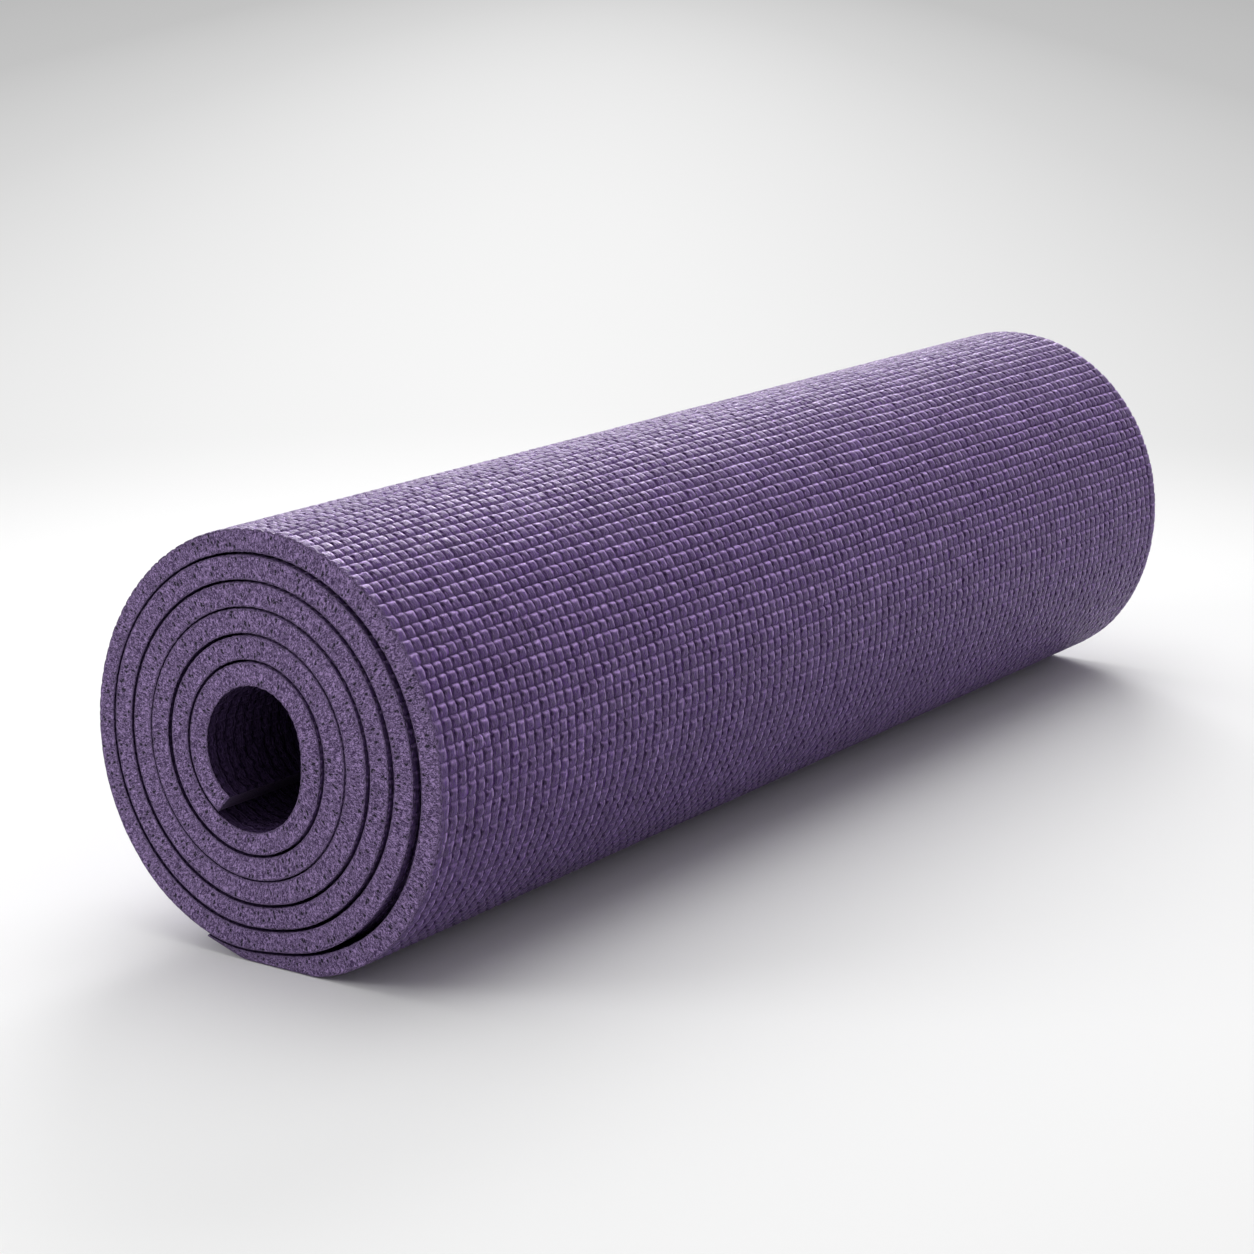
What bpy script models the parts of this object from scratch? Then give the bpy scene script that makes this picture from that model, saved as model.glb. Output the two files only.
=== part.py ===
"""A rolled exercise mat.

The mat is one long foam sheet with a woven scrim inside it, wound into a roll of about six turns.
It lies on its side: the roll's axis runs along Y, the wound end with the loose outer edge faces -Y,
and the floor is at Z zero. The last turn is a loose flap that opens to the +X side when the mat is unrolled.

The winding is a curve in the XZ plane, worked out from the turn count: turn 0 is the inner end in the
bore, and the angle falls by a full circle with each turn, so that the sheet winds outwards clockwise
when it is seen from -Y. The flap is divided into short strips, each hinged to the next about an axis
along Y, which stand for the bend of the foam. The part that the roll presses on the floor is two more
strips on one body, the free end and its tip. Each strip and the wound roll has three layers: the practice
side foam, the scrim and the ground side foam.
"""

import math

import bpy
import numpy as np

# Driving dimensions, in metres
MAT_WIDTH = 0.610
TURN_PITCH = 0.01035
BORE_RADIUS = 0.0201
TURN_GAP = 0.0005
TURN_GAP_GROWTH = 0.00015
SCRIM_THICKNESS = 0.0003
BOND_GAP = 0.0003
SCRIM_INSET = 0.0015
STRIP_GAP = 0.0003

# Where the winding's centre lies at the inner end, and how far it moves with each turn
BORE_SHIFT_ACROSS = -0.00844
BORE_SHIFT_UP = -0.00024
SHIFT_ACROSS_PER_TURN = 0.00063
SHIFT_UP_PER_TURN = 0.00008
OVAL_ACROSS = -0.00118
OVAL_SLANTED = 0.00084

# How the last turn stands off on its free side, and how the roll's weight presses it at the floor
FLAP_LIFT = 0.0026
OUTER_BULGE = 0.0009
FLOOR_DENT = 0.0020
SIDE_FLATTENING = 0.0018
SQUEEZED_THICKNESS = 0.0047
END_THICKNESS = 0.0024
FLAT_LEFT_EDGE = 0.0180
PRESS_SOFTNESS = 0.0020
PRESS_DIP = 0.0020

# Angles seen from -Y, counterclockwise from +X
INNER_END_ANGLE = math.radians(228)
FREE_END_ANGLE = math.radians(248)
TIP_END_ANGLE = math.radians(262)
FLOOR_ANGLE = math.radians(270)
FIRST_HINGE_ANGLE = math.radians(286)
STRIP_ANGLE = math.radians(18)
GAP_SIDE_ANGLE = math.radians(-20)
DENT_ANGLE = math.radians(272)
DENT_SPREAD = math.radians(13)
BULGE_ANGLE = math.radians(325)
BULGE_SPREAD = math.radians(25)
FLAT_SIDE_ANGLE = math.radians(150)
FLAT_SIDE_SPREAD = math.radians(50)
LIFT_START_ANGLE = math.radians(136)
LIFT_FULL_ANGLE = math.radians(318)
LIFT_END_ANGLE = math.radians(284)

# Counts
FULL_TURNS = 6
STRIP_COUNT = 8
STEPS_PER_TURN = 44
OUTER_WEIGHT_POWER = 4
EXPOSED_RISE_TURNS = 0.1

# Colours and finish
FOAM_COLOUR = (0.115, 0.068, 0.180, 1.0)
FOAM_SIDE_COLOUR = (0.098, 0.058, 0.155, 1.0)
SCRIM_COLOUR = (0.42, 0.38, 0.50, 1.0)
FOAM_ROUGHNESS = 0.72
SCRIM_ROUGHNESS = 0.85

FULL_CIRCLE = 2 * math.pi
SHEET_TURNS = FULL_TURNS - (FREE_END_ANGLE - INNER_END_ANGLE) / FULL_CIRCLE
LAST_TURN = SHEET_TURNS - 1


def angle_of(turn):
    """The angle that the winding has reached after this many turns from its inner end."""
    return INNER_END_ANGLE - FULL_CIRCLE * turn


def turn_at(angle):
    """The turn at which the last turn of the sheet passes this angle."""
    return FULL_TURNS - (angle - INNER_END_ANGLE) / FULL_CIRCLE


def smooth_step(value, start, end):
    """Rises from 0 at start to 1 at end, level at both."""
    share = np.clip((value - start) / (end - start), 0, 1)
    return share * share * (3 - 2 * share)


def bell(angle, centre, spread):
    """A bell curve round one direction, the same after every full circle."""
    away = np.angle(np.exp(1j * (angle - centre)))
    return np.exp(-((away / spread) ** 2))


def soft_least(values, softness):
    """The least of several radii, with the corners between them rounded."""
    return -softness * np.log(sum(np.exp(-value / softness) for value in values))


def seam_radius(turn):
    """The radius at which turn - 1 and turn meet: a spiral about a centre that moves, slightly oval,
    dented over the floor and bulged beside it on the outer turns."""
    angle = angle_of(turn)
    across = BORE_SHIFT_ACROSS + SHIFT_ACROSS_PER_TURN * turn
    up = BORE_SHIFT_UP + SHIFT_UP_PER_TURN * turn
    spiral = BORE_RADIUS + TURN_PITCH * turn + across * np.cos(angle) + up * np.sin(angle)
    oval = OVAL_ACROSS * np.cos(2 * angle) + OVAL_SLANTED * np.sin(2 * angle)
    outer_share = np.clip(turn / FULL_TURNS, 0, 1) ** OUTER_WEIGHT_POWER
    dent = FLOOR_DENT * bell(angle, DENT_ANGLE, DENT_SPREAD)
    bulge = OUTER_BULGE * bell(angle, BULGE_ANGLE, BULGE_SPREAD)
    return spiral + oval + outer_share * (bulge - dent)


def gap_width(turn):
    """The gap between turn - 1 and turn, wider on the free side and towards the outside."""
    share = (0.5 + 0.5 * np.cos(angle_of(turn) - GAP_SIDE_ANGLE)) ** 2
    return TURN_GAP + TURN_GAP_GROWTH * turn * share


def flap_lift(turn):
    """How far the last turn stands off the one below it, beside the ordinary gap."""
    rise = smooth_step(turn, turn_at(LIFT_START_ANGLE + FULL_CIRCLE), turn_at(LIFT_FULL_ANGLE))
    fall = smooth_step(turn, turn_at(LIFT_FULL_ANGLE), turn_at(LIFT_END_ANGLE))
    return FLAP_LIFT * rise * (1 - fall)


def inner_radius(turn):
    """The radius of the sheet's inner face."""
    return seam_radius(turn) + gap_width(turn) / 2 + flap_lift(turn)


def plane_radius(angle, facing, distance):
    """The radius at which a ray meets a plane at this distance that faces this way."""
    return distance / np.cos(angle - facing)


def floor_distance():
    """How far the floor lies under the winding's centre: the last turn is squeezed between it and the roll."""
    return float(inner_radius(turn_at(FLOOR_ANGLE))) + SQUEEZED_THICKNESS


def end_plane():
    """The plane under the free end, which rises from the floor to the tip, as its facing angle and distance."""
    tip_radius = float(inner_radius(SHEET_TURNS)) + END_THICKNESS
    tip = tip_radius * np.array([math.cos(FREE_END_ANGLE), math.sin(FREE_END_ANGLE)])
    foot = np.array([-FLAT_LEFT_EDGE, -floor_distance()])
    run = foot - tip
    facing = math.atan2(-run[0], run[1])
    return facing, float(foot @ np.array([math.cos(facing), math.sin(facing)]))


def outer_radius(turn):
    """The radius of the sheet's outer face: it follows the next turn, and the last turn is pressed by the floor."""
    turn = np.asarray(turn, float)
    angle = angle_of(turn)
    exposed = smooth_step(turn, LAST_TURN, LAST_TURN + EXPOSED_RISE_TURNS)
    flattening = SIDE_FLATTENING * exposed * bell(angle, FLAT_SIDE_ANGLE, FLAT_SIDE_SPREAD)
    free = seam_radius(turn + 1) - gap_width(turn + 1) / 2 + flap_lift(turn) - flattening
    floor = floor_distance()
    facing, distance = end_plane()
    below = (turn > turn_at(FIRST_HINGE_ANGLE + 2 * STRIP_ANGLE)).astype(float)
    near = np.where(below > 0, angle, angle_of(turn_at(FLOOR_ANGLE)))
    under_end = plane_radius(near, facing, distance)
    under_roll = plane_radius(near, FLOOR_ANGLE, floor + PRESS_DIP)
    pressed = soft_least([free, under_end, under_roll], PRESS_SOFTNESS)
    pressed = np.minimum(pressed, plane_radius(near, FLOOR_ANGLE, floor))
    return np.where(below > 0, pressed, free)


def winding_centre():
    """Where the winding's centre lies, so that the roll stands on the origin with its sides alike."""
    turns = np.arange(math.ceil(LAST_TURN * STEPS_PER_TURN), SHEET_TURNS * STEPS_PER_TURN) / STEPS_PER_TURN
    across = outer_radius(turns) * np.cos(angle_of(turns))
    return np.array([-(across.min() + across.max()) / 2, floor_distance()])


def point_at(turn, radius):
    """The point in the XZ plane at this turn's angle and this radius from the winding's centre."""
    angle = angle_of(turn)
    away = np.stack([radius * np.cos(angle), radius * np.sin(angle)], axis=-1)
    return winding_centre() + away


def layer_faces(layer):
    """The functions that give the inner and the outer radius of one layer of the sheet."""
    def foam_thickness(turn):
        whole = outer_radius(turn) - inner_radius(turn)
        return (whole - SCRIM_THICKNESS - 2 * BOND_GAP) / 2

    if layer == "practice_foam":
        return inner_radius, lambda turn: inner_radius(turn) + foam_thickness(turn)
    if layer == "ground_foam":
        return lambda turn: outer_radius(turn) - foam_thickness(turn), outer_radius
    return (
        lambda turn: inner_radius(turn) + foam_thickness(turn) + BOND_GAP,
        lambda turn: outer_radius(turn) - foam_thickness(turn) - BOND_GAP,
    )


def layer_outline(layer, first, last, first_inset, last_inset):
    """The closed outline of a stretch of one layer, from turn first to turn last, its ends cut radially.

    The ends are set in by the given lengths, so that a stretch keeps its gap to the next one.
    """
    inner, outer = layer_faces(layer)
    lowest = math.ceil(first * STEPS_PER_TURN + 0.5)
    highest = math.floor(last * STEPS_PER_TURN - 0.5)
    between = np.arange(lowest, highest + 1) / STEPS_PER_TURN

    def face(radius_of):
        start = first + first_inset / float(radius_of(first)) / FULL_CIRCLE
        stop = last - last_inset / float(radius_of(last)) / FULL_CIRCLE
        turns = np.concatenate([[start], between, [stop]])
        return point_at(turns, radius_of(turns))

    return np.concatenate([face(inner), face(outer)[::-1]])


def tangent_at(angle):
    """A point on the sheet's outer face and its direction there, rising to the right from the floor."""
    step = math.radians(0.5)
    turn = turn_at(angle)
    here = point_at(turn, outer_radius(turn))
    ahead_turn = turn_at(angle + step)
    behind_turn = turn_at(angle - step)
    ahead = point_at(ahead_turn, outer_radius(ahead_turn))
    behind = point_at(behind_turn, outer_radius(behind_turn))
    run = ahead - behind
    return here, math.atan2(run[1], run[0])


def strip_lines():
    """The resting line of the root, of each strip and of the roll: a point on it and its slope.

    The root's line is the floor. Each other line touches the outer face in the middle of its strip,
    so that when the flap is flat every strip touches the floor there.
    """
    lines = [(np.zeros(2), 0.0)]
    for number in range(STRIP_COUNT + 1):
        lines.append(tangent_at(FIRST_HINGE_ANGLE + (number + 0.5) * STRIP_ANGLE))
    return lines


def crossing(first, second):
    """The point where two lines cross."""
    (start, slope), (other, other_slope) = first, second
    along = np.array([math.cos(slope), math.sin(slope)])
    across = np.array([-math.sin(other_slope), math.cos(other_slope)])
    return start + along * float(((other - start) @ across) / (along @ across))


def hinge_points():
    """Where each strip hinges to the one before it: where their resting lines cross."""
    lines = strip_lines()
    return [crossing(first, second) for first, second in zip(lines, lines[1:])]


def hinge_ranges():
    """How far each strip turns until it lies flat after the one before it."""
    slopes = np.unwrap([slope for _, slope in strip_lines()])
    return np.diff(slopes)


def make_material(name, colour, roughness):
    """A plain material."""
    material = bpy.data.materials.new(name)
    material.use_nodes = True
    shader = material.node_tree.nodes["Principled BSDF"]
    shader.inputs["Base Color"].default_value = colour
    shader.inputs["Roughness"].default_value = roughness
    shader.inputs["Metallic"].default_value = 0.0
    return material


def make_layer(name, outline, pivot, half_width, material, parent, collection):
    """Extrudes an outline in the XZ plane along Y, with the object's origin on its joint's axis."""
    curve = bpy.data.curves.new(name, "CURVE")
    curve.dimensions = "2D"
    curve.fill_mode = "BOTH"
    curve.extrude = half_width
    spline = curve.splines.new("POLY")
    spline.points.add(len(outline) - 1)
    local = outline - pivot
    corners = np.zeros((len(outline), 4))
    corners[:, 0] = local[:, 0]
    corners[:, 1] = local[:, 1]
    corners[:, 3] = 1
    spline.points.foreach_set("co", corners.ravel())
    spline.use_cyclic_u = True
    curve.materials.append(material)
    obj = bpy.data.objects.new(name, curve)
    obj.rotation_euler = (math.pi / 2, 0, 0)
    obj.parent = parent
    collection.objects.link(obj)
    return obj


def make_pivot(name, pivot, parent, parent_pivot, collection):
    """An empty on a joint's axis, which carries the layers of one strip."""
    empty = bpy.data.objects.new(name, None)
    away = pivot - parent_pivot
    empty.location = (away[0], 0, away[1])
    empty.parent = parent
    empty.empty_display_size = MAT_WIDTH / 2
    collection.objects.link(empty)
    return empty


def make_stretch(body, first, last, first_inset, last_inset, pivot, empty, materials, collection):
    """The three layers of one stretch of the sheet."""
    for layer, material in materials.items():
        inset = SCRIM_INSET if layer == "scrim" else 0
        outline = layer_outline(layer, first, last, first_inset + inset, last_inset + inset)
        make_layer(f"{body}_{layer}", outline, pivot, MAT_WIDTH / 2 - inset, material, empty, collection)


def least_turn_gap():
    """The least distance between two neighbouring turns of the sheet, measured on their outlines' points."""
    roll_end = turn_at(FIRST_HINGE_ANGLE + STRIP_COUNT * STRIP_ANGLE)
    turns = np.arange(0, roll_end - 1, 1 / (4 * STEPS_PER_TURN))
    outside = point_at(turns, outer_radius(turns))
    inside_turns = np.arange(1, roll_end, 1 / (4 * STEPS_PER_TURN))
    inside = point_at(inside_turns, inner_radius(inside_turns))
    apart = np.hypot(*(outside[:, None] - inside[None]).transpose(2, 0, 1))
    return float(apart.min())


def sheet_length():
    """The length of the sheet along its middle."""
    turns = np.linspace(0, SHEET_TURNS, STEPS_PER_TURN * FULL_TURNS * 4)
    middle = point_at(turns, (inner_radius(turns) + outer_radius(turns)) / 2)
    return float(np.hypot(*np.diff(middle, axis=0).T).sum())


def main():
    for old in list(bpy.data.objects):
        bpy.data.objects.remove(old, do_unlink=True)
    collection = bpy.data.collections.new("rolled_exercise_mat")
    bpy.context.scene.collection.children.link(collection)
    materials = {
        "practice_foam": make_material("practice_foam", FOAM_COLOUR, FOAM_ROUGHNESS),
        "scrim": make_material("scrim", SCRIM_COLOUR, SCRIM_ROUGHNESS),
        "ground_foam": make_material("ground_foam", FOAM_SIDE_COLOUR, FOAM_ROUGHNESS),
    }
    hinges = hinge_points()
    ranges = hinge_ranges()
    half_gap = STRIP_GAP / 2

    pivot = np.zeros(2)
    root = make_pivot("free_end_pivot", pivot, None, pivot, collection)
    tip_start = turn_at(TIP_END_ANGLE)
    make_stretch("free_tip", tip_start, SHEET_TURNS, half_gap, 0, pivot, root, materials, collection)
    first = turn_at(FIRST_HINGE_ANGLE)
    make_stretch("free_end", first, tip_start, half_gap, half_gap, pivot, root, materials, collection)
    parent = root
    for number in range(STRIP_COUNT):
        hinge = hinges[number]
        name = f"flap_{number + 1}"
        empty = make_pivot(f"{name}_pivot", hinge, parent, pivot, collection)
        pivot = hinge
        start_angle = FIRST_HINGE_ANGLE + number * STRIP_ANGLE
        first = turn_at(start_angle + STRIP_ANGLE)
        make_stretch(name, first, turn_at(start_angle), half_gap, half_gap, pivot, empty, materials, collection)
        parent = empty
    hinge = hinges[STRIP_COUNT]
    empty = make_pivot("roll_pivot", hinge, parent, pivot, collection)
    last = turn_at(FIRST_HINGE_ANGLE + STRIP_COUNT * STRIP_ANGLE)
    make_stretch("roll", 0, last, 0, half_gap, hinge, empty, materials, collection)

    print("least gap between turns %.3f mm" % (least_turn_gap() * 1000))
    print("sheet length %.1f mm" % (sheet_length() * 1000))
    for number, (hinge, turned) in enumerate(zip(hinges, ranges)):
        print("hinge %d at x %.6f z %.6f, range %.4f degrees" % (number + 1, *hinge, math.degrees(turned)))


main()
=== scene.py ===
"""Dresses the rolled exercise mat: embossed skin, cut foam ends, woven scrim and a plain studio.

The foam is worked out with numpy as one closed loop section carried along the winding: the outer
face with its knuckles, the cut end, the inner face with its knuckles and the other cut end. Along
the mat the sheet is divided at the bottoms of row grooves.
"""
import logging
import math
from dataclasses import dataclass, field
from enum import Enum
from functools import cached_property

import bpy
import numpy as np
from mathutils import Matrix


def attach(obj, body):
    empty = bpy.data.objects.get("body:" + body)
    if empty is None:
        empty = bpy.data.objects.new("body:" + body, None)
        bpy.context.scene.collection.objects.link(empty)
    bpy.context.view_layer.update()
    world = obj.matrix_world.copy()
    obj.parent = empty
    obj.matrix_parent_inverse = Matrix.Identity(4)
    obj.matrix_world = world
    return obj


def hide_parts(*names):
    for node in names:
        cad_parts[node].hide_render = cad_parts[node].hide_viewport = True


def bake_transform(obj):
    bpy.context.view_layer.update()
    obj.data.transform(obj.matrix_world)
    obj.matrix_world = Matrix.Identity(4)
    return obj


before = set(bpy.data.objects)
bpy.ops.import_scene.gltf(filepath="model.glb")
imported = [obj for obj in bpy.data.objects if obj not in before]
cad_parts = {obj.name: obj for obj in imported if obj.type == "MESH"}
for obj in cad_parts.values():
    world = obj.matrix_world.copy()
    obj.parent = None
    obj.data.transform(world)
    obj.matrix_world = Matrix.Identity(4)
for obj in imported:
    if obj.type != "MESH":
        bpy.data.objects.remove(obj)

Array = np.ndarray
Pair = tuple[float, float]
Triple = tuple[float, float, float]
Material, Mesh = bpy.types.Material, bpy.types.Mesh
Node, NodeTree, Socket = bpy.types.Node, bpy.types.NodeTree, bpy.types.NodeSocket

LOG = logging.getLogger("rolled_mat")
FULL_CIRCLE = 2 * math.pi
MM_PER_METRE = 1000


def smooth_step(value: Array, start: float, end: float) -> Array:
    """Rises from 0 at start to 1 at end, level at both: 3 t squared less 2 t cubed."""
    share = np.clip((value - start) / (end - start), 0, 1)
    return share * share * (3 - 2 * share)


def bell(angle: Array, centre: float, spread: float) -> Array:
    """A bell curve round one direction: e to the minus square of the angle away over the spread."""
    away = np.angle(np.exp(1j * (angle - centre)))
    return np.exp(-((away / spread) ** 2))


class Face(Enum):
    """A face of the sheet."""

    GROUND = "outer"
    PRACTICE = "inner"


class Detail(Enum):
    """How finely a face is divided: shares of a knuckle's length at which it has points."""

    FINE = (0.0, 0.08, 0.20, 0.50, 0.80, 0.92)
    MEDIUM = (0.0, 0.12, 0.50, 0.88)
    PLAIN = (0.0, 0.15, 0.85)
    HIDDEN = (0.0, 0.25, 0.75)


@dataclass(frozen=True)
class Winding:
    """The curve that the sheet winds along, in metres and radians.

    The values are the CAD part's. The thinner tip and the slack are this file's own: the slack
    gives turns of the seam and its extra width there in millimetres, as the end face shows it.
    """

    pitch: float = 0.01035
    bore: float = 0.0201
    gap: float = 0.0005
    gap_growth: float = 0.00015
    shift_across: float = -0.00844
    shift_up: float = -0.00024
    shift_across_per_turn: float = 0.00063
    shift_up_per_turn: float = 0.00008
    oval_across: float = -0.00118
    oval_slanted: float = 0.00084
    lift: float = 0.0026
    bulge: float = 0.0009
    dent: float = 0.0020
    flattening: float = 0.0018
    squeezed: float = 0.0047
    end_thickness: float = 0.0024
    flat_left: float = 0.0180
    press_softness: float = 0.0020
    press_dip: float = 0.0020
    inner_end: float = math.radians(228)
    free_end: float = math.radians(248)
    floor: float = math.radians(270)
    first_hinge: float = math.radians(286)
    strip: float = math.radians(18)
    gap_side: float = math.radians(-20)
    dent_angle: float = math.radians(272)
    dent_spread: float = math.radians(13)
    bulge_angle: float = math.radians(325)
    bulge_spread: float = math.radians(25)
    flat_side: float = math.radians(150)
    flat_side_spread: float = math.radians(50)
    lift_start: float = math.radians(136)
    lift_full: float = math.radians(318)
    lift_end: float = math.radians(284)
    turns: int = 6
    outer_power: int = 4
    tip_share: float = 0.35
    tip_length: float = 0.045
    exposed_rise: float = 0.1
    slack: tuple[Pair, ...] = (
        (0.95, 0.0), (1.13, 0.5), (1.38, 0.3), (1.63, 1.2), (1.88, 0.3), (2.10, 1.3), (2.38, 0.2),
        (2.63, -0.2), (3.10, -0.2), (3.38, 0.1), (3.63, 0.8), (3.85, 0.2), (4.05, 0.8), (4.38, 0.2),
        (4.63, 1.2), (4.85, 0.1), (5.02, 0.7), (5.20, 0.2), (5.50, 0.0),
    )
    pressed_strips: int = 2
    centre_steps: int = 44
    length_steps: int = 12000

    @property
    def sheet_turns(self) -> float:
        """The turn count of the sheet from its inner end to its free end."""
        return self.turns - (self.free_end - self.inner_end) / FULL_CIRCLE

    @property
    def last_turn(self) -> float:
        """The turn at which the outermost turn begins."""
        return self.sheet_turns - 1

    def angle_of(self, turn: Array) -> Array:
        """The angle that the winding has reached: it falls by a full circle with each turn."""
        return self.inner_end - FULL_CIRCLE * turn

    def turn_at(self, angle: float) -> float:
        """The turn at which the last turn of the sheet passes this angle."""
        return self.turns - (angle - self.inner_end) / FULL_CIRCLE

    def seam(self, turn: Array) -> Array:
        """The radius at which two turns meet: a slightly oval spiral about a moving centre.

        Args:
            turn: turn counts from the inner end.

        Returns:
            Bore plus pitch times turn, plus the centre's shift along the ray, plus two oval waves
            of the doubled angle, plus the bulge less the dent by a power of the turn's share.
        """
        angle = self.angle_of(turn)
        across = self.shift_across + self.shift_across_per_turn * turn
        up = self.shift_up + self.shift_up_per_turn * turn
        spiral = self.bore + self.pitch * turn + across * np.cos(angle) + up * np.sin(angle)
        oval = self.oval_across * np.cos(2 * angle) + self.oval_slanted * np.sin(2 * angle)
        outer = np.clip(turn / self.turns, 0, 1) ** self.outer_power
        dent = self.dent * bell(angle, self.dent_angle, self.dent_spread)
        bulge = self.bulge * bell(angle, self.bulge_angle, self.bulge_spread)
        return spiral + oval + outer * (bulge - dent)

    def gap_at(self, turn: Array) -> Array:
        """The gap between the turns on both sides of a seam.

        Args:
            turn: turn counts of the seam.

        Returns:
            The gap, plus its growth times the turn and the square of a half raised cosine that is
            full on the free side, plus the slack on straight lines between its turns.
        """
        share = (0.5 + 0.5 * np.cos(self.angle_of(turn) - self.gap_side)) ** 2
        slack = np.interp(turn, *zip(*self.slack)) / MM_PER_METRE
        return self.gap + self.gap_growth * turn * share + slack

    def lift_at(self, turn: Array) -> Array:
        """How far the last turn stands off.

        Args:
            turn: turn counts from the inner end.

        Returns:
            The lift times a smooth step up and one less a smooth step down.
        """
        start, full, end = (
            self.turn_at(angle)
            for angle in (self.lift_start + FULL_CIRCLE, self.lift_full, self.lift_end)
        )
        rise, fall = smooth_step(turn, start, full), smooth_step(turn, full, end)
        return self.lift * rise * (1 - fall)

    def inner_radius(self, turn: Array) -> Array:
        """The inner face: the seam plus half the gap plus the lift."""
        return self.seam(turn) + self.gap_at(turn) / 2 + self.lift_at(turn)

    @cached_property
    def floor_distance(self) -> float:
        """How far the floor lies under the winding's centre."""
        return float(self.inner_radius(self.turn_at(self.floor))) + self.squeezed

    @cached_property
    def end_plane(self) -> Pair:
        """The plane from the floor up under the sheet's tip.

        Returns:
            The angle that it faces and its distance from the winding's centre.
        """
        tip_radius = float(self.inner_radius(self.sheet_turns)) + self.end_thickness
        tip = tip_radius * np.array([math.cos(self.free_end), math.sin(self.free_end)])
        foot = np.array([-self.flat_left, -self.floor_distance])
        run = foot - tip
        facing = math.atan2(-run[0], run[1])
        return facing, float(foot @ np.array([math.cos(facing), math.sin(facing)]))

    def outer_radius(self, turn: Array) -> Array:
        """The outer face: it follows the next seam, and at the floor the least of three radii.

        Args:
            turn: turn counts from the inner end.

        Returns:
            The next seam less half its gap, less the flattening of the far side. Near the floor
            this, the ray's length to the plane under the free end and that to the floor go into a
            soft minimum: less its softness times the logarithm of the sum of e to the minus radius
            over the softness. The tip thins out by one more smooth step.
        """
        turn = np.asarray(turn, float)
        angle = self.angle_of(turn)
        exposed = smooth_step(turn, self.last_turn, self.last_turn + self.exposed_rise)
        flattening = self.flattening * exposed * bell(angle, self.flat_side, self.flat_side_spread)
        free = self.seam(turn + 1) - self.gap_at(turn + 1) / 2 + self.lift_at(turn) - flattening
        facing, distance = self.end_plane
        below = turn > self.turn_at(self.first_hinge + self.pressed_strips * self.strip)
        near = np.where(below, angle, self.angle_of(self.turn_at(self.floor)))
        under_end = distance / np.cos(near - facing)
        under_roll = (self.floor_distance + self.press_dip) / np.cos(near - self.floor)
        radii = (free, under_end, under_roll)
        soft = sum(np.exp(-radius / self.press_softness) for radius in radii)
        pressed = -self.press_softness * np.log(soft)
        pressed = np.minimum(pressed, self.floor_distance / np.cos(near - self.floor))
        kept = smooth_step(self.sheet_turns - turn, 0, self.tip_length)
        thinned = self.tip_share + (1 - self.tip_share) * kept
        inner = self.inner_radius(turn)
        return np.where(below, inner + (pressed - inner) * thinned, free)

    @cached_property
    def centre(self) -> Pair:
        """The winding's centre.

        Returns:
            Its x and z. The CAD source puts the middle of the last turn's width at the origin.
        """
        steps = self.centre_steps
        turns = np.arange(math.ceil(self.last_turn * steps), self.sheet_turns * steps) / steps
        across = self.outer_radius(turns) * np.cos(self.angle_of(turns))
        return -float(across.min() + across.max()) / 2, self.floor_distance

    @cached_property
    def length_table(self) -> tuple[Array, Array]:
        """The length of the sheet's middle line.

        Returns:
            Turns, and the length up to each as the sum of short chords.
        """
        turns = np.linspace(0, self.sheet_turns, self.length_steps + 1)
        radius = (self.inner_radius(turns) + self.outer_radius(turns)) / 2
        angle = self.angle_of(turns)
        steps = np.hypot(np.diff(radius * np.cos(angle)), np.diff(radius * np.sin(angle)))
        return turns, np.concatenate([[0.0], np.cumsum(steps)])

    def turn_of(self, length: Array) -> Array:
        """The turn at which the sheet's middle line has this length."""
        turns, lengths = self.length_table
        return np.interp(length, lengths, turns)

    def length_of(self, turn: Array) -> Array:
        """The length of the sheet's middle line up to this turn."""
        return np.interp(turn, *self.length_table)

    def middle_point(self, turn: float) -> Triple:
        """A point of the sheet's middle line, halfway along the roll.

        Args:
            turn: the turn count.

        Returns:
            The centre plus the mean of the inner and outer radius along the turn's ray.
        """
        angle = float(self.angle_of(turn))
        radius = float(self.inner_radius(turn) + self.outer_radius(turn)) / 2
        x, z = self.centre
        return x + radius * math.cos(angle), 0.0, z + radius * math.sin(angle)


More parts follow.
